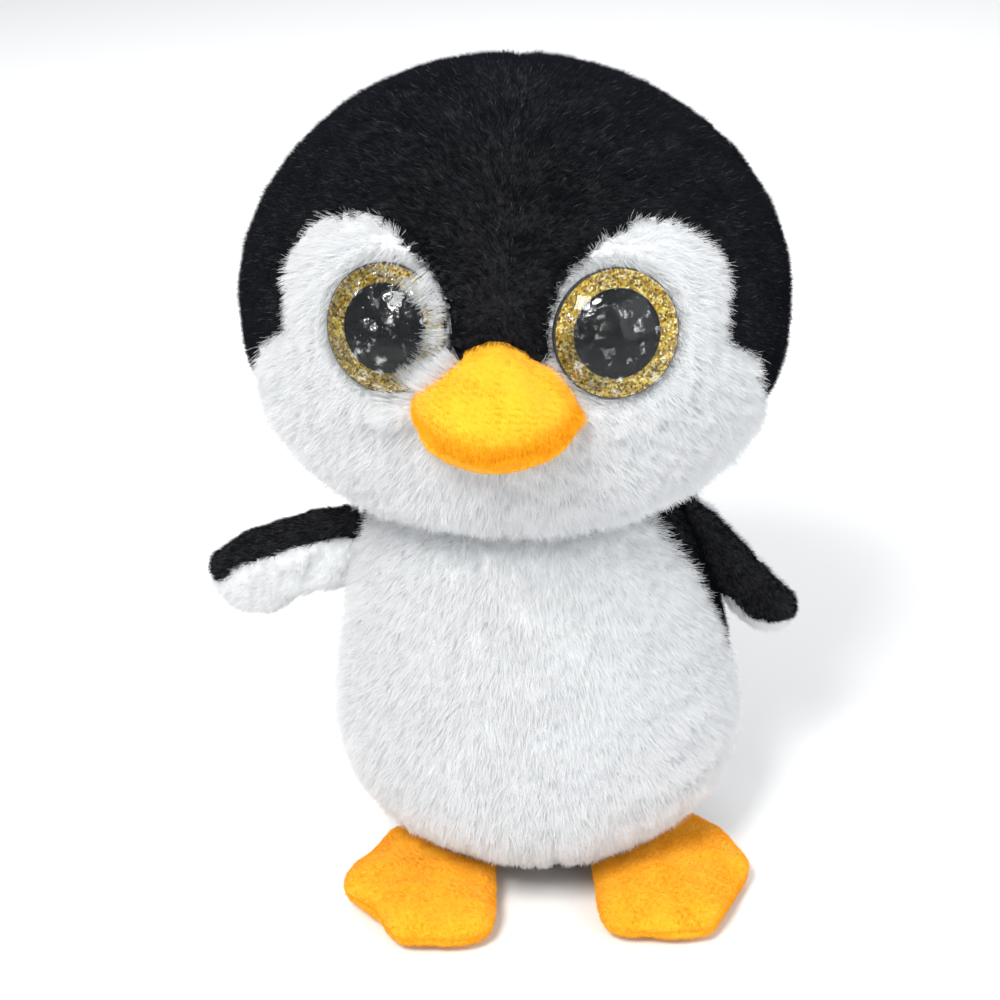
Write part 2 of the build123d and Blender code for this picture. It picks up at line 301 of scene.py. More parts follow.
def make_head():
    """Five panels of the head's cover, shaped over the stuffing, with a groove along each seam."""
    rows, columns = ((150, 330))
    verts, faces = sphere_grid(rows, columns)
    q = verts * HEAD_RADII
    flat = np.clip((-q[:, 2] / MM - 34.0) / 26.0, 0, 1)
    q[:, 2] += flat**1.6 * 7.0 * MM
    for _ in range(2):
        gap = white_distance(q)
        step = np.zeros_like(q)
        for axis in (0, 2):
            moved = q.copy()
            moved[:, axis] += 0.05 * MM
            step[:, axis] = (white_distance(moved) - gap) / 0.05
        near = (np.abs(gap) < 0.75) & (q[:, 1] < CHEEK_Y * MM)
        q -= step * (gap * near)[:, None] * MM
    ball = new_mesh("head_form", head_world(q), faces)
    white = white_distance(q)
    crown = crown_distance(q)
    dent = groove(white, 1.3, 2.4)
    dent += groove(np.where(white > 1, crown, FAR_OFF), 1.2, 2.2)
    dent += groove(np.where((white > 1) & (crown > 0), q[:, 0] / MM, FAR_OFF), 1.1, 2.0)
    dent += groove(np.where((white < -1) & (q[:, 2] < -12 * MM), q[:, 0] / MM, FAR_OFF), 1.0, 2.2)
    puff, _ = eye_distance(head_world(q))
    beside = (q[:, 0] < -8 * MM) & (q[:, 0] > -27 * MM)
    dent += np.exp(-(((puff - 18.6) / 3.0) ** 2)) * np.where(beside, 3.6, 1.8) * MM * (white < 1.5)
    dent += wave_noise(q, 45 * MM, 3) * 0.45 * MM
    dent += wave_noise(q, 6 * MM, 4) * 0.16 * MM
    push(ball, dent)
    cuts = {
        "head_cap_cover": lambda c: (white_distance(c) >= 0) & (crown_distance(c) < 0),
        "head_back_left_cover": lambda c: back_of_head(c) & (c[:, 0] >= 0),
        "head_back_right_cover": lambda c: back_of_head(c) & (c[:, 0] < 0),
        "face_left_cover": lambda c: (white_distance(c) < 0) & (c[:, 0] >= 0),
        "face_right_cover": lambda c: (white_distance(c) < 0) & (c[:, 0] < 0),
    }
    made = {}
    for name, cut in cuts.items():
        made[name] = panel(ball, name, lambda c, cut=cut: cut(head_local(c)), HEAD_CLOTH)
    drop(ball)
    return made


def back_of_head(q):
    """True behind the ear-to-ear seam and off the white cheeks."""
    return (white_distance(q) >= 0) & (crown_distance(q) >= 0)


def make_torso():
    """Belly, two backs and the base of the torso's cover."""
    rings, columns = ((110, 300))
    t = np.linspace(0, 1, 400)
    z_line = np.interp(t, np.linspace(0, 1, len(TORSO_Z)), TORSO_Z)
    r_line = np.interp(t, np.linspace(0, 1, len(TORSO_Z)), TORSO_R)
    kernel = np.hanning(31)
    kernel /= kernel.sum()
    z_line = np.convolve(np.pad(z_line, 15, mode="edge"), kernel, "valid")
    r_line = np.convolve(np.pad(r_line, 15, mode="edge"), kernel, "valid")
    run = np.concatenate([[0], np.cumsum(np.hypot(np.diff(z_line), np.diff(r_line)))])
    spots = np.linspace(0, run[-1], rings)
    z = np.interp(spots, run, z_line)
    r = np.interp(spots, run, r_line)
    turn = np.linspace(0, 2 * pi, columns, endpoint=False)
    zz, tt = np.meshgrid(z, turn, indexing="ij")
    rr = np.repeat(r[:, None], columns, 1)
    low = np.clip((34 * MM - zz) / (30 * MM), 0, 1)
    deep = np.where(np.sin(tt) < 0, TORSO_DEPTH - 0.05 * low, TORSO_BACK_DEPTH)
    ring = np.stack([rr * np.cos(tt), rr * np.sin(tt) * deep, zz], -1).reshape(-1, 3)
    verts = np.vstack([[0, 0, z[0]], ring, [0, 0, z[-1]]])
    faces = [f[::-1] for f in grid_faces(rings, columns)]
    form = new_mesh("torso_form", verts, faces)
    p = points_of(form)
    side = belly_distance(p)
    base = np.hypot(p[:, 0], p[:, 1]) / MM - BASE_R / MM
    low = p[:, 2] < BASE_TOP
    dent = groove(side, 1.2, 2.4)
    dent += groove(np.where(low, base, FAR_OFF), 1.0, 2.0)
    dent += groove(np.where(side > 1, p[:, 0] / MM, FAR_OFF), 1.1, 2.0)
    notch = np.hypot((p[:, 0] / MM - 5.5) / 1.8, (p[:, 2] / MM - 18.0) / 9.0)
    dent += np.where(p[:, 1] < 0, -2.2 * MM * np.exp(-notch**2), 0)
    dent += wave_noise(p, 40 * MM, 13) * 0.6 * MM
    dent += wave_noise(p, 6 * MM, 14) * 0.15 * MM
    dent *= np.clip(p[:, 2] / (6 * MM), 0, 1)
    push(form, dent)
    p = points_of(form)
    p[:, 2] = np.maximum(p[:, 2], FLOOR_GAP)
    set_points(form, p)
    on_base = lambda c: (np.hypot(c[:, 0], c[:, 1]) < BASE_R) & (c[:, 2] < BASE_TOP)
    cuts = {
        "belly_cover": lambda c: (belly_distance(c) < 0) & ~on_base(c),
        "back_left_cover": lambda c: (belly_distance(c) >= 0) & (c[:, 0] >= 0) & ~on_base(c),
        "back_right_cover": lambda c: (belly_distance(c) >= 0) & (c[:, 0] < 0) & ~on_base(c),
        "base_cover": on_base,
    }
    made = {name: panel(form, name, keep, TORSO_CLOTH) for name, keep in cuts.items()}
    drop(form)
    return made


def beak_shape(p):
    """Shape unit-ball directions into the beak's upper outline: peaked top, flat soft mouth."""
    x, y, z = p[:, 0], p[:, 1], p[:, 2]
    wide, deep, high = BEAK_UPPER_RADII
    q = np.stack([x * wide, y * deep, z * high], 1)
    tent = np.clip(z, 0, 1)
    q[:, 0] *= 1 - 0.16 * tent**2
    q[:, 2] += (np.exp(-((x / 0.40) ** 2)) * 2.4 - 1.2) * MM * tent
    q[:, 1] += tent**2 * 5.5 * MM
    sag = np.exp(-((x / 0.55) ** 2)) * np.clip(-y, 0, 1)
    q[:, 2] -= sag * 1.6 * MM * (z > -0.6)
    return q


def make_beak():
    """Upper and lower beak: closed pillows that meet along the mouth."""
    rows, columns = ((110, 190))
    verts, faces = sphere_grid(rows, columns)
    upper_dir = verts.copy()
    flattened = BEAK_FLOOR - 0.10 * (BEAK_FLOOR - verts[:, 2])
    upper_dir[:, 2] = np.where(verts[:, 2] < BEAK_FLOOR, flattened, verts[:, 2])
    q = beak_shape(upper_dir) + BEAK_CENTRE
    upper = new_mesh("beak_upper_cover", head_world(q), faces)
    line = (q[:, 2] - BEAK_CENTRE[2]) / MM + 5.6 - 3.4 * verts[:, 0] ** 2 - 0.8 * np.sin(verts[:, 0] * 5)
    crease = groove(line, 0.9, 1.2) * np.clip(-verts[:, 1] * 2, 0, 1)
    dent = crease + wave_noise(q, 9 * MM, 21) * 0.25 * MM + wave_noise(q, 2.4 * MM, 22, 2) * 0.09 * MM
    push(upper, dent)
    lower_dir = verts * np.array([0.93, 0.93, 0.5])
    q = lower_dir * np.array(BEAK_LOWER_RADII) * MM
    q[:, 2] -= np.exp(-((verts[:, 0] / 0.6) ** 2)) * np.clip(-verts[:, 1], 0, 1) * 1.4 * MM
    q += BEAK_CENTRE + np.array([0, 0.6, -6.6]) * MM
    lower = new_mesh("beak_lower_cover", head_world(q), faces)
    push(lower, wave_noise(q, 8 * MM, 23) * 0.2 * MM + wave_noise(q, 2.4 * MM, 24, 2) * 0.09 * MM)
    return upper, lower


def inflate(piece, cap):
    """Swell a pad with Cloth pressure, no point moving more than cap, then apply it."""
    remesh = piece.modifiers.new("remesh", "REMESH")
    remesh.mode = "VOXEL"
    remesh.voxel_size = PAD_VOXEL
    apply_modifiers(piece)
    start = points_of(piece)
    cloth = piece.modifiers.new("cloth", "CLOTH")
    cloth.settings.use_pressure = True
    cloth.settings.uniform_pressure_force = CLOTH_PRESSURE
    cloth.settings.effector_weights.gravity = 0
    cloth.settings.tension_stiffness = 25
    cloth.settings.bending_stiffness = 0.3
    cloth.collision_settings.use_collision = False
    scene = bpy.context.scene
    for number in range(1, CLOTH_FRAMES + 1):
        scene.frame_set(number)
    apply_modifiers(piece)
    scene.frame_set(1)
    moved = points_of(piece) - start
    far = np.linalg.norm(moved, axis=1)
    moved *= np.minimum(1, cap / np.maximum(far, 1e-9))[:, None]
    set_points(piece, start + moved)


def pad_between(name, outline, thick, place):
    """A lens-like pad over a flat outline: thick in the middle, thin at its seam."""
    outline = np.asarray(outline)
    centre = outline.mean(0)
    n = len(outline)
    steps = PAD_STEPS
    shrink = np.cos(np.linspace(0, pi / 2, steps + 1))
    rise = np.sin(np.linspace(0, pi / 2, steps + 1)) ** 0.8
    verts, faces = [], []
    for sign, first in ((1, 0), (-1, 1)):
        for k in range(first, steps):
            ring = centre + (outline - centre) * (0.12 + 0.88 * shrink[k])
            verts.append(np.column_stack([ring, np.full(n, sign * rise[k] * thick / 2)]))
    top = np.append(centre, thick / 2)
    low = np.append(centre, -thick / 2)
    rings = len(verts)
    flat = np.vstack(verts + [top[None], low[None]])
    for r in range(steps - 1):
        for c in range(n):
            d = (c + 1) % n
            faces.append((r * n + c, r * n + d, (r + 1) * n + d, (r + 1) * n + c))
    first_low = steps * n
    for c in range(n):
        d = (c + 1) % n
        faces.append((c, first_low + c, first_low + d, d))
        faces.append(((steps - 1) * n + c, (steps - 1) * n + d, rings * n))
        faces.append(((rings - 1) * n + d, (rings - 1) * n + c, rings * n + 1))
    for r in range(steps, rings - 1):
        faces += ring_quads(r * n, (r + 1) * n, n)
    return new_mesh(name, place(flat), faces)


def smooth_loop(points, count):
    """A closed smooth curve through points, evenly spaced."""
    p = np.asarray(points, float)
    n = len(p)
    out = []
    for k in range(n):
        a, b, c, d = p[k - 1], p[k], p[(k + 1) % n], p[(k + 2) % n]
        for t in np.linspace(0, 1, 24, endpoint=False):
            bend, twist = 2 * a - 5 * b + 4 * c - d, 3 * b - a - 3 * c + d
            out.append(0.5 * (2 * b + (c - a) * t + bend * t**2 + twist * t**3))
    out = np.array(out + [out[0]])
    run = np.concatenate([[0], np.cumsum(np.linalg.norm(np.diff(out, axis=0), axis=1))])
    spots = np.linspace(0, run[-1], count, endpoint=False)
    return np.column_stack([np.interp(spots, run, out[:, 0]), np.interp(spots, run, out[:, 1])])


# ===== wings and feet
WING_AXES = {
    "right": (np.array([-0.943, 0.0, -0.333]), np.array([-0.09, -0.96, -0.26])),
    "left": (np.array([0.57, 0.30, -0.765]), np.array([-0.15, 0.92, 0.25])),
}
WING_OUTLINES = {
    "right": [(-44, 105.5), (-51, 106), (-59, 103.3), (-69, 99.3), (-79, 95.2), (-84.5, 91),
              (-87.4, 86.5), (-87.4, 79), (-83, 72.2), (-74.5, 71), (-65, 76.5), (-57, 81), (-46, 85)],
    "left": [(40.6, 109), (47.6, 104), (56, 92), (65, 78.5), (70, 71.5), (70.6, 65.5), (67, 61),
             (61, 61.5), (54.3, 69.5), (50, 77.5), (45, 85)],
}
WING_TOP = np.array([(-44, 105.5), (-51, 106.5), (-59, 104), (-69, 100), (-79, 96), (-85, 91.8),
                     (-88, 88)])
WING_UNDER = np.array([(53, 72), (61, 61.5), (67, 61)])
WING_FOLD = np.array([(-50, 100), (-57, 92), (-60, 86)])
WING_EDGE = 6.6
FOOT_OUTLINES = {
    "right": [(-15.5, -8), (-19.5, 2), (-23.5, 16), (-26.3, 26.5), (-25, 31.8), (-19.5, 35.3),
              (-13, 37), (-6.5, 38.4), (-2.5, 38.2), (1, 35.3), (6, 30), (12, 26), (16.3, 23),
              (19.2, 18.5), (18.4, 12), (15.3, 2), (13.5, -6), (9, -10), (0, -10), (-9, -10)],
    "left": [(-14.5, -9), (-19, 0), (-24.5, 11), (-27.4, 19.5), (-26, 24.2), (-19, 30.0),
             (-12.5, 34.2), (-6, 36.8), (-2, 36.2), (4.5, 31.8), (12, 26.3), (18.2, 21.5),
             (20.6, 17), (20.8, 8), (20.4, -2), (17.5, -9), (9, -12), (0, -12), (-9, -12)],
}
FOOT_WEBS = [np.array([(-11.5, 34), (-7.5, 20)]), np.array([(10.5, 29.5), (5.5, 18)])]
WING_THICK, FOOT_THICK = 12.5 * MM, 11.0 * MM
FOOT_SEAM_Z = 4.6 * MM
FOOT_HEADING = {"right": 11.0, "left": 32.0}


def line_distance(xz, line):
    """Distance in millimetres from points to an open chain of segments."""
    best = np.full(len(xz), 1e9)
    for a, b in zip(line[:-1], line[1:]):
        way = b - a
        t = np.clip(((xz - a) @ way) / (way @ way), 0, 1)
        best = np.minimum(best, np.linalg.norm(xz - a - t[:, None] * way, axis=1))
    return best


def wing_frame(side):
    """Origin and axes of a wing: along it, up it, and out of its white face."""
    along, face = WING_AXES[side]
    face = face / np.linalg.norm(face)
    along = along - face * (along @ face)
    along = along / np.linalg.norm(along)
    return np.array(JOINTS[f"wing_{side}_flap"]["pos_m"]), along, np.cross(face, along), face


def wing_white(side, p):
    """True on the white underside of a wing."""
    origin, _, _, face = wing_frame(side)
    high = (p - origin) @ face / MM
    xz = p[:, [0, 2]] / MM
    if side == "right":
        return (high > -1.0) & (line_distance(xz, WING_TOP) > WING_EDGE)
    return (high > 1.0) | ((line_distance(xz, WING_UNDER) < 4.2) & (high > -5.2))


def make_wing(side):
    """A stuffed flipper; its black outer and white inner pieces."""
    origin, along, up, face = wing_frame(side)
    loop = smooth_loop(np.array(WING_OUTLINES[side]) * MM, 110)
    rise = face[0] * (loop[:, 0] - origin[0]) + face[2] * (loop[:, 1] - origin[2])
    y = origin[1] - rise / face[1]
    flat = np.column_stack([loop[:, 0], y, loop[:, 1]]) - origin
    outline = np.column_stack([flat @ along, flat @ up])
    place = lambda f: origin + f[:, :1] * along + f[:, 1:2] * up + f[:, 2:] * face
    form = pad_between(f"wing_{side}_form", outline, WING_THICK, place)
    inflate(form, 1.6 * MM)
    p = points_of(form)
    white = wing_white(side, p)
    dent = wave_noise(p, 16 * MM, 31) * 0.55 * MM + wave_noise(p, 5 * MM, 32) * 0.18 * MM
    if side == "right":
        fold = line_distance(p[:, [0, 2]] / MM, WING_FOLD)
        dent -= 1.5 * MM * np.exp(-((fold / 3.0) ** 2)) * white
        seam = line_distance(p[:, [0, 2]] / MM, WING_TOP) - WING_EDGE
        dent += groove(np.where((p - origin) @ face > -2 * MM, seam, FAR_OFF), 0.8, 1.6)
    push(form, dent)
    outer = panel(form, f"wing_outer_{side}_cover", lambda c: ~wing_white(side, c), LIMB_CLOTH)
    inner = panel(form, f"wing_inner_{side}_cover", lambda c: wing_white(side, c), LIMB_CLOTH)
    drop(form)
    return outer, inner


def torso_under(p):
    """Height of the torso's underside above the floor at a point's distance out from its middle."""
    out = np.hypot(p[:, 0], p[:, 1] / TORSO_DEPTH)
    return np.interp(out, TORSO_R[:WIDENING], TORSO_Z[:WIDENING], right=1.0)


def make_foot(side):
    """A webbed three-toed foot: top and sole, meeting at a seam low round its edge."""
    hinge = np.array(JOINTS[f"foot_{side}_flex"]["pos_m"])
    hand = 1 if side == "left" else -1
    turn = radians(180 + hand * FOOT_HEADING[side])
    loop = smooth_loop(np.array(FOOT_OUTLINES[side]) * MM, 130)
    if hand > 0:
        loop = (loop * np.array([-1, 1]))[::-1]
    middle = FOOT_SEAM_Z

    def place(f):
        below = f[:, 2] * (middle - 0.6 * MM) * 2 / FOOT_THICK
        z = np.where(f[:, 2] < 0, below, f[:, 2] * 1.28)
        x = f[:, 0] * cos(turn) - f[:, 1] * sin(turn) + hinge[0]
        y = f[:, 0] * sin(turn) + f[:, 1] * cos(turn) + hinge[1]
        return np.column_stack([x, y, middle + z])

    form = pad_between(f"foot_{side}_form", loop, FOOT_THICK, place)
    inflate(form, 1.2 * MM)
    p = points_of(form)
    back = np.column_stack([p[:, 0] - hinge[0], p[:, 1] - hinge[1]])
    u = back[:, 0] * cos(turn) + back[:, 1] * sin(turn)
    v = -back[:, 0] * sin(turn) + back[:, 1] * cos(turn)
    u = u * -hand
    top = p[:, 2] > middle
    web = np.minimum(*[line_distance(np.column_stack([u, v]) / MM, line) for line in FOOT_WEBS])
    dent = -0.7 * MM * np.exp(-((web / 4.5) ** 2)) * top
    dent += wave_noise(p, 20 * MM, 41) * 0.5 * MM + wave_noise(p, 6 * MM, 42) * 0.08 * MM
    dent += groove((p[:, 2] - middle) / MM, 0.7, 1.1)
    push(form, dent)
    p = points_of(form)
    p[:, 2] = np.clip(p[:, 2], FLOOR_GAP, torso_under(p) - LIMB_CLOTH)
    set_points(form, p)
    cover = panel(form, f"foot_top_{side}_cover", lambda c: c[:, 2] >= middle, LIMB_CLOTH)
    sole = panel(form, f"foot_sole_{side}_cover", lambda c: c[:, 2] < middle, LIMB_CLOTH)
    drop(form)
    return cover, sole


# ===== materials
class Finish:
    """A small node-tree writer."""

    def __init__(self, name):
        self.material = bpy.data.materials.new(name)
        self.material.use_nodes = True
        self.tree = self.material.node_tree
        self.tree.nodes.clear()
        self.out = self.node("ShaderNodeOutputMaterial")

    def node(self, kind, settings=None, **inputs):
        """A node with its settings and its inputs, by name, an underscore for a space."""
        made = self.tree.nodes.new(kind)
        for key, value in (settings or {}).items():
            setattr(made, key, value)
        for key, value in inputs.items():
            self.put(made.inputs[key.replace("_", " ")], value)
        return made

    def put(self, socket, value):
        """Link an output to a socket, or set the socket's constant."""
        if isinstance(value, bpy.types.NodeSocket):
            self.tree.links.new(value, socket)
        elif isinstance(value, tuple) and len(value) == 3 and socket.type == "RGBA":
            socket.default_value = (*value, 1.0)
        else:
            socket.default_value = value

    def ramp(self, fac, stops):
        """Colours between stops of place and colour."""
        made = self.node("ShaderNodeValToRGB", Fac=fac)
        bar = made.color_ramp.elements
        while len(bar) < len(stops):
            bar.new(0.5)
        for stop, (place, colour) in zip(bar, stops):
            stop.position = place
            stop.color = (*colour, 1.0)
        return made.outputs["Color"]

    def noise(self, size, detail=3.0, rough=0.55):
        """Noise of a given size in object space."""
        where = self.node("ShaderNodeTexCoord").outputs["Object"]
        made = self.node("ShaderNodeTexNoise", Vector=where, Scale=1.0 / size, Detail=detail,
                         Roughness=rough)
        return made.outputs["Fac"]

    def bump(self, height, distance, strength=1.0):
        """A normal bent by a height."""
        made = self.node("ShaderNodeBump", Height=height, Distance=distance, Strength=strength)
        return made.outputs["Normal"]

    def mix(self, share, first, second):
        """One shader blended into another by a share."""
        made = self.node("ShaderNodeMixShader", Fac=share)
        self.put(made.inputs[1], first)
        self.put(made.inputs[2], second)
        return made.outputs["Shader"]

    def surface(self, shader):
        """The finished material, with its surface shader."""
        self.tree.links.new(shader, self.out.inputs["Surface"])
        return self.material


def scaled(colour, by):
    """A colour made darker or lighter."""
    return tuple(min(1.0, c * by) for c in colour)


def pile(name, colour, dark, light, grain, sheen, sheen_tint):
    """Short-napped cloth under the fur: mottled colour, a fine nap and sheen."""
    f = Finish(name)
    patches = f.ramp(f.noise(5 * MM), [(0.3, scaled(colour, dark)), (0.7, scaled(colour, light))])
    nap = f.noise(grain, 4.0, 0.7)
    shader = f.node("ShaderNodeBsdfPrincipled", Base_Color=patches, Roughness=0.92,
                    Sheen_Weight=sheen, Sheen_Roughness=0.45, Sheen_Tint=sheen_tint,
                    Normal=f.bump(nap, 0.5 * MM, 0.9))
    return f.surface(shader.outputs["BSDF"])


def strands(name, dark, light, through, rough=0.5, gloss=0.0, glint_colour=None, root=0.62):
    """Fur: each strand its own tint, darker towards its root as painted shade, some light through it; a
    glint colour paints highlights on a few strands.
    """
    f = Finish(name)
    hair = f.node("ShaderNodeHairInfo")
    stops = [(0.0, dark), (1.0, light)]
    # Painted highlight: the few strands at the top of the ramp take the glint colour.
    if glint_colour is not None:
        stops = [(0.0, dark), (0.9, light), (0.985, light), (1.0, glint_colour)]
    tint = f.ramp(hair.outputs["Random"], stops)
    # Painted shade: each strand darkens towards its root, where the fur would shade itself.
    painted_root_shade = f.ramp(hair.outputs["Intercept"], [(0.0, (root, root, root)), (0.75, (1.0, 1.0, 1.0))])
    mixed = f.node("ShaderNodeMix", {"data_type": "RGBA", "blend_type": "MULTIPLY"}, Factor=1.0)
    f.put(mixed.inputs[6], tint)
    f.put(mixed.inputs[7], painted_root_shade)
    colour = mixed.outputs[2]
    base = f.node("ShaderNodeBsdfDiffuse", Color=colour).outputs["BSDF"]
    if through:
        thin = f.node("ShaderNodeBsdfTranslucent", Color=colour).outputs["BSDF"]
        base = f.mix(through, base, thin)
    if gloss:
        shine = f.node("ShaderNodeBsdfAnisotropic", Color=(0.75, 0.82, 1.0), Roughness=rough)
        base = f.mix(gloss, base, shine.outputs["BSDF"])
    return f.surface(base)


def clear_plastic(name):
    """Clear plastic that lets light straight through to what is behind it."""
    f = Finish(name)
    edge = f.node("ShaderNodeFresnel", IOR=1.5)
    lift = f.node("ShaderNodeMath", {"operation": "MULTIPLY_ADD"})
    f.put(lift.inputs[0], edge.outputs["Fac"])
    f.put(lift.inputs[1], 0.4)
    f.put(lift.inputs[2], 0.0)
    straight = f.node("ShaderNodeBsdfTransparent", Color=(0.97, 0.98, 0.985))
    shine = f.node("ShaderNodeBsdfGlossy", Color=(1.0, 1.0, 1.0), Roughness=0.015)
    return f.surface(f.mix(lift.outputs["Value"], straight.outputs["BSDF"], shine.outputs["BSDF"]))


def crumpled_film(name):
    """Thin clear film with streaks that catch the light."""
    f = Finish(name)
    streaks = f.ramp(f.noise(3.2 * MM, 4.0, 0.6),
                     [(0.57, (0.006, 0.006, 0.006)), (0.76, (0.42, 0.42, 0.42))])
    dent = f.bump(f.noise(2.4 * MM, 3.0, 0.6), 0.5 * MM, 1.0)
    straight = f.node("ShaderNodeBsdfTransparent", Color=(0.95, 0.96, 0.96))
    shine = f.node("ShaderNodeBsdfGlossy", Color=(1.0, 1.0, 1.0), Roughness=0.07, Normal=dent)
    return f.surface(f.mix(streaks, straight.outputs["BSDF"], shine.outputs["BSDF"]))


def glitter(name):
    """Gold foil flecks: each its own tilt, and its own brightness, which is partly a random flake tone
    and partly painted sparkle.
    """
    f = Finish(name)
    where = f.node("ShaderNodeTexCoord").outputs["Object"]
    cells = f.node("ShaderNodeTexVoronoi", Vector=where, Scale=1.0 / (0.5 * MM))
    grey = f.node("ShaderNodeSeparateColor", Color=cells.outputs["Color"])
    # Partly painted highlight: the brightest flakes are painted pale and bright as sparkle; the rest is
    # each flake's own tone.
    flake_tone_and_sparkle = f.ramp(grey.outputs["Red"], [(0.0, (0.10, 0.045, 0.004)), (0.4, (0.46, 0.25, 0.02)),
                                        (0.78, (0.86, 0.60, 0.07)), (1.0, (1.0, 0.93, 0.55))])
    tilt = f.bump(grey.outputs["Green"], 0.16 * MM, 0.8)
    shader = f.node("ShaderNodeBsdfPrincipled", Base_Color=flake_tone_and_sparkle, Metallic=0.8, Roughness=0.3,
                    Normal=tilt)
    return f.surface(shader.outputs["BSDF"])


def solid(name, colour, rough, size, depth=0.0, specular=0.5):
    """A plain material with slight colour variation and a fine surface."""
    f = Finish(name)
    tint = f.ramp(f.noise(size), [(0.3, scaled(colour, 0.86)), (0.7, scaled(colour, 1.1))])
    shader = f.node("ShaderNodeBsdfPrincipled", Base_Color=tint, Roughness=rough,
                    Specular_IOR_Level=specular)
    if depth:
        f.put(shader.inputs["Normal"], f.bump(f.noise(size / 4, 2.0), depth, 0.7))
    return f.surface(shader.outputs["BSDF"])


FINISHES = {
    "white_plush": pile("white_nap", WHITE, 0.93, 1.02, 0.9 * MM, 0.4, (1.0, 1.0, 1.0)),
    "black_plush": pile("black_nap", NAVY_BLACK, 0.7, 1.5, 0.8 * MM, 0.06, (0.55, 0.65, 0.85)),
    "black_plush_short": pile("black_short_nap", NAVY_BLACK, 0.6, 1.2, 0.7 * MM, 0.04, (0.5, 0.6, 0.8)),
    "orange_plush": pile("orange_nap", ORANGE, 0.9, 1.05, 0.8 * MM, 0.3, (1.0, 0.75, 0.35)),
    "fibre_fill": solid("polyester_fill", (0.85, 0.85, 0.84), 0.95, 3 * MM, 0.4 * MM),
    "pouch_cloth": solid("pouch_cotton", (0.78, 0.76, 0.70), 0.9, 2 * MM, 0.1 * MM),
    "beans": solid("bean_plastic", (0.72, 0.70, 0.66), 0.45, 2 * MM, 0.3 * MM),
    "thread": solid("black_thread", (0.02, 0.02, 0.022), 0.75, 0.6 * MM, 0.05 * MM),
    "clear_dome": clear_plastic("clear_dome_plastic"),
    "clear_film": crumpled_film("clear_protective_film"),
    "gold_glitter": glitter("gold_glitter_foil"),
    "pupil_black": solid("pupil_gloss", (0.003, 0.003, 0.0035), 0.5, 4 * MM, specular=0.1),
    "moulded_black": solid("moulded_plastic", (0.012, 0.012, 0.013), 0.4, 3 * MM, 0.02 * MM),
    "washer_white": solid("washer_nylon", (0.80, 0.80, 0.78), 0.5, 3 * MM, 0.02 * MM),
}
# Each fur's root value sets how dark its strands are painted at the root: painted shade.
WHITE_FUR = strands("white_fur", (0.80, 0.812, 0.82), (0.90, 0.905, 0.91), 0.4, root=0.88)
# Black fur's last colour paints highlights on a few strands.
BLACK_FUR = strands("black_fur", (0.0015, 0.0018, 0.0024), (0.0065, 0.0072, 0.0095), 0.0, 0.4,
                    0.010, (0.16, 0.17, 0.19))
BODY_FUR = strands("black_body_fur", (0.001, 0.0012, 0.0016), (0.005, 0.0055, 0.007), 0.0, 0.5,
                   0.006)
ORANGE_FUR = strands("orange_fur", (0.96, 0.46, 0.012), (1.0, 0.60, 0.035), 0.3, root=0.86)


def dress(piece, slot_name):
    """Give a piece its slot and finish."""
    piece.data.materials.clear()
    piece.data.materials.append(FINISHES[slot_name])


# ===== fur
def tuft_pull(p, size, seed):
    """Directions that draw nearby strands together into tufts of about that size."""
    rng = np.random.default_rng(seed)
    pull = np.zeros_like(p)
    for _ in range(9):
        way = rng.normal(size=3)
        way /= np.linalg.norm(way)
        reach = size * rng.uniform(0.7, 1.5)
        pull += way * np.cos(p @ way * (2 * pi / reach) + rng.uniform(0, 2 * pi))[:, None]
    return pull / 2.2


HAIR_STEPS = np.array([0.0, 0.34, 0.68, 1.0])
HAIR_TAPER = np.array([1.0, 0.95, 0.75, 0.35])


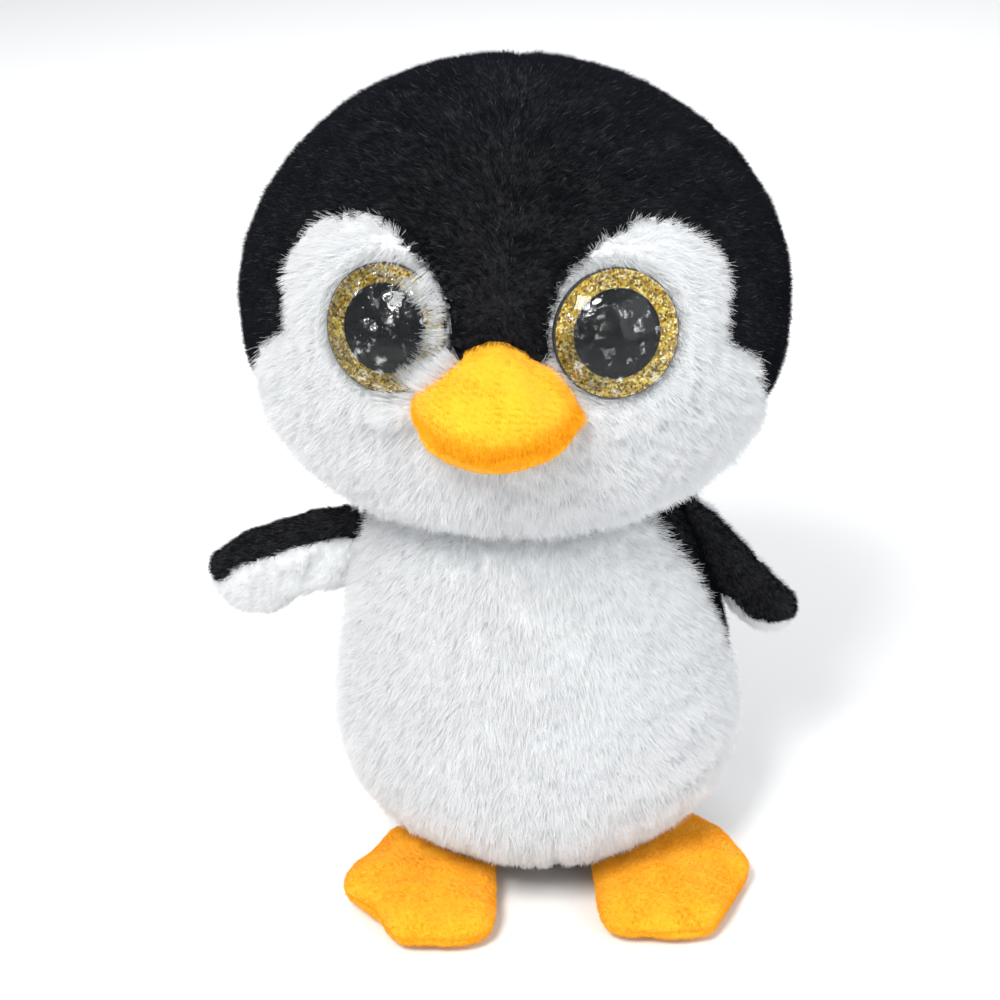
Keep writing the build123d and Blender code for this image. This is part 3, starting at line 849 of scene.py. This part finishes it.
def grow(piece, keep, finish, comb, seed, density, length, thick, lean, spread, tuft, size=3.5 * MM):
    """Fur on the part of a piece's outer side that keep() picks.

    Density is strands per square millimetre, and length a number or a function of the root.
    Lean lays the strands along comb(), spread scatters them, and tuft draws them together over
    a distance of about size.
    """
    mesh = piece.data
    mesh.calc_loop_triangles()
    tri = np.zeros(len(mesh.loop_triangles) * 3, np.int32)
    mesh.loop_triangles.foreach_get("vertices", tri)
    tri = tri.reshape(-1, 3)
    p, n = points_of(piece), normals_of(piece)
    a, b, c = p[tri[:, 0]], p[tri[:, 1]], p[tri[:, 2]]
    area = np.linalg.norm(np.cross(b - a, c - a), axis=1) / 2
    face = np.zeros(len(tri), np.int32)
    mesh.loop_triangles.foreach_get("polygon_index", face)
    area = np.where(face < OUTER_FACES.get(piece.name, len(mesh.polygons)), area, 0.0)
    rng = np.random.default_rng(seed)
    count = int(area.sum() / MM**2 * density)
    pick = rng.choice(len(tri), count, p=area / area.sum())
    s, t = rng.random(count), rng.random(count)
    over = s + t > 1
    s[over], t[over] = 1 - s[over], 1 - t[over]
    mix = np.stack([1 - s - t, s, t], 1)[:, :, None]
    root = (p[tri[pick]] * mix).sum(1)
    normal = (n[tri[pick]] * mix).sum(1)
    chosen = keep(root + rng.normal(size=root.shape) * 0.35 * MM)
    root, normal = root[chosen], normal[chosen]
    count = len(root)
    normal /= np.linalg.norm(normal, axis=1)[:, None]
    lie = comb(root)
    lie = lie - normal * (lie * normal).sum(1)[:, None]
    wild = rng.normal(size=root.shape) * spread
    swirl = np.stack([wave_noise(root, 14 * MM, seed + k, 2) for k in range(3)], 1) * 0.28
    way = normal + lie * lean + wild + swirl
    way /= np.linalg.norm(way, axis=1)[:, None]
    pull = tuft_pull(root, size, seed + 9)
    pull -= normal * (pull * normal).sum(1)[:, None]
    if callable(length):
        length = length(root)
    long_ = length * rng.uniform(0.65, 1.1, count) * (1 + 0.15 * wave_noise(root, 11 * MM, seed + 5, 2))
    bend = lie * lean * 0.9 + rng.normal(size=root.shape) * spread * 0.6
    places = np.zeros((count, len(HAIR_STEPS), 3))
    for k, h in enumerate(HAIR_STEPS):
        strand = (way * h + bend * h * h * 0.5) * long_[:, None]
        places[:, k] = root - normal * 0.25 * MM + strand + pull * (tuft * size * 0.28 * h**1.5)
    radius = np.tile(HAIR_TAPER * thick, count)
    fur = bpy.data.hair_curves.new(piece.name + "_fur")
    fur.add_curves([len(HAIR_STEPS)] * count)
    fur.set_types(type="POLY")
    fur.position_data.foreach_set("vector", places.astype(np.float32).ravel())
    width = fur.attributes.get("radius") or fur.attributes.new("radius", "FLOAT", "POINT")
    width.data.foreach_set("value", radius.astype(np.float32))
    fur.materials.append(finish)
    made = bpy.data.objects.new(piece.name + "_fur", fur)
    bpy.context.scene.collection.objects.link(made)
    made.parent = piece


def beak_distance(p):
    """How far outside the beak's foot a point is, about, in millimetres."""
    q = (head_local(p) - BEAK_MIDDLE) / MM
    high = np.where(q[:, 2] > 0, 15.0, 11.0)
    wide = np.where(q[:, 2] > 0, 17.5 - 0.62 * np.clip(q[:, 2], 0, 15), 17.5)
    near = (np.sqrt((q[:, 0] / wide) ** 2 + (q[:, 2] / high) ** 2) - 1) * 13.0
    return np.where(q[:, 1] > 40.0, NOT_NEAR, near)


def comb_head(p):
    """Out from the middle of the face and down; away from the eyes and the beak."""
    q = head_local(p)
    down = np.tile(HEAD_TURN @ np.array([0.0, 0.0, -1.0]), (len(p), 1)) * 0.55
    sideways = HEAD_TURN @ np.array([1.0, 0.0, 0.0])
    out = np.outer(np.clip(q[:, 0] / (30 * MM), -1, 1), sideways) * 0.5
    near, away = eye_distance(p)
    shy = np.exp(-(((near - 15.0) / 4.0) ** 2))[:, None]
    inner = ((q[:, 0] < -8 * MM) & (q[:, 0] > -26 * MM))[:, None]
    towards = np.where(inner, -0.6, -0.1)
    q_beak = q - BEAK_MIDDLE
    q_beak[:, 1] = 0
    q_beak /= np.maximum(np.linalg.norm(q_beak, axis=1), 1e-9)[:, None]
    by_beak = np.exp(-((np.clip(beak_distance(p), 0, None) / 6.0) ** 2))[:, None]
    return down + out + away * shy * towards + (q_beak @ HEAD_TURN.T) * by_beak * 0.8


def comb_beak(p):
    """Forwards off the head, then down over the mouth."""
    q = head_local(p)
    way = np.column_stack([q[:, 0] * 12, np.full(len(q), -0.5), np.full(len(q), -0.8)])
    return way @ HEAD_TURN.T


def beak_length(p):
    """A smooth nap above, longer tufts along the mouth, more so on the left."""
    q = head_local(p) / MM
    line = q[:, 2] + 6.6 - 3.4 * (q[:, 0] / 18) ** 2
    lip = np.exp(-((line / 2.8) ** 2)) * (0.85 + 0.4 * np.clip(q[:, 0] / 12, -1, 1))
    return (0.6 + 1.7 * lip) * MM


def comb_crown(p):
    """Back over the crown and down its sides."""
    q = head_local(p)
    lie = np.stack([q[:, 0] * 4, np.full(len(q), 0.030), -np.clip(0.03 - q[:, 2], 0, 0.06)], 1)
    lie /= np.linalg.norm(lie, axis=1)[:, None]
    return lie @ HEAD_TURN.T * 0.8


def comb_down(p):
    """Down, and a little out from the middle."""
    return np.column_stack([p[:, 0] * 4, np.zeros(len(p)), np.full(len(p), -0.9)])


def comb_wing(side):
    """Out along a wing."""
    _, along, _, _ = wing_frame(side)
    return lambda p: np.tile(along * 0.9, (len(p), 1))


def comb_foot(p):
    """Towards the toes."""
    return np.column_stack([p[:, 0] * 3, np.full(len(p), -0.7), np.zeros(len(p))])


def film(side):
    """A crumpled, torn-edged film over the lens."""
    spot, axis = EYES[side]
    across = np.cross([0.0, 0.0, 1.0], axis)
    across /= np.linalg.norm(across)
    up = np.cross(axis, across)
    rings, columns = 34, 150
    turn = np.linspace(0, 2 * pi, columns, endpoint=False)
    seed = 51 if side == "left" else 61
    round_ = np.column_stack([np.cos(turn), np.sin(turn), np.zeros(columns)])
    edge = 14.0 + 0.7 * wave_noise(round_, 0.9, seed) + 0.5 * wave_noise(round_, 0.25, seed + 1)
    torn_at = radians(222.0 if side == "left" else 20.0)
    torn = np.exp(-((np.angle(np.exp(1j * (turn - torn_at))) / 0.30) ** 2))
    edge += (2.6 if side == "left" else 1.0) * torn
    r = np.linspace(0.02, 1, rings)[:, None] * edge[None]
    curve, base, rim = 20.56, 0.6, 14.9
    dome = np.sqrt(np.maximum(curve**2 - np.minimum(r, rim) ** 2, 0)) - (curve - 6.5) + base + 0.5
    dome -= np.clip(r - rim, 0, None) * 0.2
    flat = np.stack([r * np.cos(turn), r * np.sin(turn), dome], -1).reshape(-1, 3)
    crumple = 1 - np.abs(wave_noise(flat, 9.0, seed + 2, 2)) * 1.4
    fine = np.clip(np.abs(wave_noise(flat, 3.5, seed + 3, 2)), 0, 1)
    flat[:, 2] += np.clip(crumple, 0, 1) ** 2 * 0.55 + fine * 0.16
    flat *= MM
    place = spot - axis * 0.35 * MM + flat[:, :1] * across + flat[:, 1:2] * up + flat[:, 2:] * axis
    faces = []
    for k in range(rings - 1):
        faces += ring_quads(k * columns, (k + 1) * columns, columns)
    faces.append(tuple(range(columns))[::-1])
    piece = new_mesh(f"eye_film_{side}_crumpled", place, faces)
    thin = piece.modifiers.new("film", "SOLIDIFY")
    thin.thickness = 0.07 * MM
    apply_modifiers(piece)
    return piece


# ===== build
head = make_head()
torso = make_torso()

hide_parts("head_front_cap", "head_stuffing")
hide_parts("head_back_left")
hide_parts("head_back_right")
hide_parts("face_left")
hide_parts("face_right")
for name, piece in head.items():
    dress(piece, "white_plush" if name.startswith("face") else "black_plush")
    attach(piece, "head")

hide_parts("belly_panel", "body_stuffing")
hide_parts("back_panel_left")
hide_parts("back_panel_right")
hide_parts("base_panel")
for name, piece in torso.items():
    dress(piece, "white_plush" if name.startswith("belly") else "black_plush_short")
    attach(piece, "torso")

beak_upper, beak_lower = make_beak()
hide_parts("beak_upper", "beak_stuffing")
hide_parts("beak_lower")
for piece in (beak_upper, beak_lower):
    dress(piece, "orange_plush")
    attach(piece, "head")

wings, feet = {}, {}
for side in ("right", "left"):
    outer, inner = wings[side] = make_wing(side)
    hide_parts(f"wing_outer_{side}", f"wing_stuffing_{side}")
    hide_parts(f"wing_inner_{side}")
    dress(outer, "black_plush_short")
    dress(inner, "white_plush")
    cover, sole = feet[side] = make_foot(side)
    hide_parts(f"foot_top_{side}", f"foot_stuffing_{side}")
    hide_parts(f"foot_sole_{side}")
    for piece in (cover, sole):
        dress(piece, "orange_plush")
        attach(piece, f"foot_{side}")
    for piece in (outer, inner):
        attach(piece, f"wing_{side}")
    piece = film(side)
    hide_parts(f"eye_film_{side}")
    dress(piece, "clear_film")
    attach(piece, "head")

SLOT_OF_NODE = {
    "eye_lens": "clear_dome", "eye_iris": "gold_glitter", "eye_pupil": "pupil_black",
    "eye_back": "moulded_black", "eye_washer": "washer_white", "neck_seam": "thread",
    "closing_stitches": "thread", "bean_pouch": "pouch_cloth", "bean_fill": "beans",
}
for name, node in frame["nodes"].items():
    if node.hide_render:
        continue
    stem = name.replace("_left", "").replace("_right", "")
    node.data.materials.clear()
    node.data.materials.append(FINISHES[SLOT_OF_NODE[stem]])


# ===== fur on every cover but the base
def clear_of_features(p):
    """Outside the lenses and the beak."""
    return (eye_distance(p)[0] > 14.6) & (beak_distance(p) > -2.0)


def by_eye(p):
    """The ring of cloth round each lens."""
    near, _ = eye_distance(p)
    return (near > 15.0) & (near < 18.0) & (beak_distance(p) > 0)


def flap(p):
    """The strip of cloth along the right eye's inner edge, whose fur falls over the lens."""
    q = head_local(p) / MM
    near, _ = eye_distance(p)
    inner = (q[:, 0] < -9) & (q[:, 0] > -24) & (q[:, 2] > 1) & (q[:, 2] < 28)
    return (near > 14.9) & (near < 19.5) & inner


def comb_eye(p):
    """Towards the eye."""
    _, away = eye_distance(p)
    return -away


def face_length(p):
    """Long beside the right eye's inner edge, which it half covers, and shorter by the beak."""
    q = head_local(p)
    near, _ = eye_distance(p)
    inner = (q[:, 0] < -8 * MM) & (q[:, 0] > -26 * MM) & (q[:, 2] > -4 * MM)
    long_ = 1 + 0.25 * inner * np.exp(-(((near - 18.0) / 4.0) ** 2))
    edge = 1 - 0.45 * np.exp(-((white_distance(q) / 2.0) ** 2))
    chin = edge - 0.4 * np.clip((-q[:, 2] / MM - 42) / 14, 0, 1)
    return WHITE_LENGTH * long_ * chin * (0.6 + 0.4 * np.clip(beak_distance(p) / 5.0, 0, 1))


def outside_head(p):
    """Not sunk into the face."""
    return np.linalg.norm(head_local(p) / HEAD_RADII, axis=1) > 1.0


def belly_length(p):
    """Shorter towards the floor."""
    return WHITE_LENGTH * (0.4 + 0.6 * np.clip((p[:, 2] - 6 * MM) / (30 * MM), 0, 1))


def above(height):
    """Picks points over a height."""
    return lambda p: p[:, 2] > height


WHITE_LENGTH = 4.3 * MM
for name, piece in head.items():
    if name.startswith("face"):
        half = 1 if "left" in name else -1
        grow(piece, clear_of_features, WHITE_FUR, comb_head, 101 + half, density=5.0,
             length=face_length, thick=0.048 * MM, lean=0.65, spread=0.28, tuft=0.55, size=4.4 * MM)
        grow(piece, by_eye, WHITE_FUR, comb_eye, 105 + half, density=14.0,
             length=2.4 * MM, thick=0.046 * MM, lean=0.25, spread=0.25, tuft=0.4)
        if half < 0:
            grow(piece, flap, WHITE_FUR, comb_eye, 108, density=60.0,
                 length=5.0 * MM, thick=0.05 * MM, lean=0.75, spread=0.16, tuft=0.1)
    else:
        grow(piece, clear_of_features, BLACK_FUR, comb_crown, 110 + len(name), density=8.0,
             length=2.1 * MM, thick=0.040 * MM, lean=0.75, spread=0.32, tuft=0.45, size=2.2 * MM)
for name, piece in torso.items():
    if name == "belly_cover":
        grow(piece, above(3.5 * MM), WHITE_FUR, comb_down, 121, density=5.0,
             length=belly_length, thick=0.048 * MM, lean=0.6, spread=0.28, tuft=0.55, size=4.4 * MM)
    elif name != "base_cover":
        grow(piece, above(3.0 * MM), BODY_FUR, comb_down, 122 + len(name), density=5.0,
             length=2.2 * MM, thick=0.042 * MM, lean=0.6, spread=0.28, tuft=0.5, size=2.6 * MM)
for piece in (beak_upper, beak_lower):
    grow(piece, outside_head, ORANGE_FUR, comb_beak, 131 + len(piece.name), density=16.0,
         length=beak_length, thick=0.034 * MM, lean=0.6, spread=0.30, tuft=0.6, size=1.6 * MM)
for side, (outer, inner) in wings.items():
    grow(outer, above(0), BODY_FUR, comb_wing(side), 141 + len(side), density=8.0,
         length=1.4 * MM, thick=0.038 * MM, lean=0.9, spread=0.26, tuft=0.4, size=2.2 * MM)
    grow(inner, above(0), WHITE_FUR, comb_wing(side), 151 + len(side), density=7.0,
         length=1.9 * MM, thick=0.040 * MM, lean=0.9, spread=0.26, tuft=0.6, size=2.6 * MM)
for pair in feet.values():
    for piece in pair:
        grow(piece, above(1.6 * MM), ORANGE_FUR, comb_foot, 161 + len(piece.name), density=17.0,
             length=0.85 * MM, thick=0.034 * MM, lean=0.7, spread=0.24, tuft=0.35, size=1.6 * MM)


# ===== stage
FLOOR_HALF = 9
CORNERS = ((-1, -1), (1, -1), (1, 1), (-1, 1))
floor_mesh = bpy.data.meshes.new("floor")
floor_mesh.from_pydata([(x * FLOOR_HALF, y * FLOOR_HALF, 0) for x, y in CORNERS], [], [(0, 1, 2, 3)])
floor = bpy.data.objects.new("floor", floor_mesh)
bpy.context.scene.collection.objects.link(floor)
floor_finish = Finish("pale_table")
paper = floor_finish.node("ShaderNodeBsdfDiffuse", Color=(0.86, 0.86, 0.85))
floor_mesh.materials.append(floor_finish.surface(paper.outputs["BSDF"]))


def area_light(name, place, aim, width, height, power, colour):
    """A rectangular lamp turned towards a point."""
    lamp = bpy.data.lights.new(name, "AREA")
    lamp.shape = "RECTANGLE"
    lamp.size, lamp.size_y = width, height
    lamp.energy = power
    lamp.color = colour
    made = bpy.data.objects.new(name, lamp)
    made.location = place
    made.rotation_euler = (Vector(aim) - Vector(place)).to_track_quat("-Z", "Y").to_euler()
    bpy.context.scene.collection.objects.link(made)


area_light("key", (-0.27, -0.68, 0.98), (0, 0, 0.11), 0.34, 0.34, 13.0, (1.0, 0.99, 0.97))
area_light("fill", (0.85, -0.55, 0.55), (0, 0, 0.11), 0.9, 0.9, 5.0, (0.95, 0.97, 1.0))
area_light("back", (-0.1, 0.75, 0.85), (0, 0, 0.12), 0.8, 0.5, 5.0, (1.0, 1.0, 1.0))

world = bpy.data.worlds.new("studio")
world.use_nodes = True
background = world.node_tree.nodes["Background"]
background.inputs["Color"].default_value = (0.93, 0.95, 1.0, 1.0)
background.inputs["Strength"].default_value = 0.62
bpy.context.scene.world = world
bpy.context.scene.view_settings.view_transform = "Standard"

# --- the camera: the photo's angle, from a little above and to the right
TARGET = Vector((0.0023, 0.0, 0.105))
LENS, SENSOR, SHIFT = 76.08, 36.0, -0.038
LIFT, SWING, ROLL, DISTANCE = radians(27.0), radians(4.0), radians(2.5), 0.56
back_way = Vector((sin(SWING) * cos(LIFT), -cos(SWING) * cos(LIFT), sin(LIFT)))
level = Vector((cos(SWING), sin(SWING), 0.0))
over = back_way.cross(level)
right_way = level * cos(ROLL) - over * sin(ROLL)
up_way = level * sin(ROLL) + over * cos(ROLL)
eye_point = TARGET + back_way * DISTANCE
camera = bpy.data.objects.new("camera", bpy.data.cameras.new("camera"))
camera.data.lens = LENS
camera.data.sensor_width = SENSOR
camera.data.shift_x = SHIFT
camera.data.dof.use_dof = False
camera.matrix_world = Matrix((
    (right_way.x, up_way.x, back_way.x, eye_point.x),
    (right_way.y, up_way.y, back_way.y, eye_point.y),
    (right_way.z, up_way.z, back_way.z, eye_point.z),
    (0.0, 0.0, 0.0, 1.0),
))
bpy.context.scene.collection.objects.link(camera)
bpy.context.scene.camera = camera
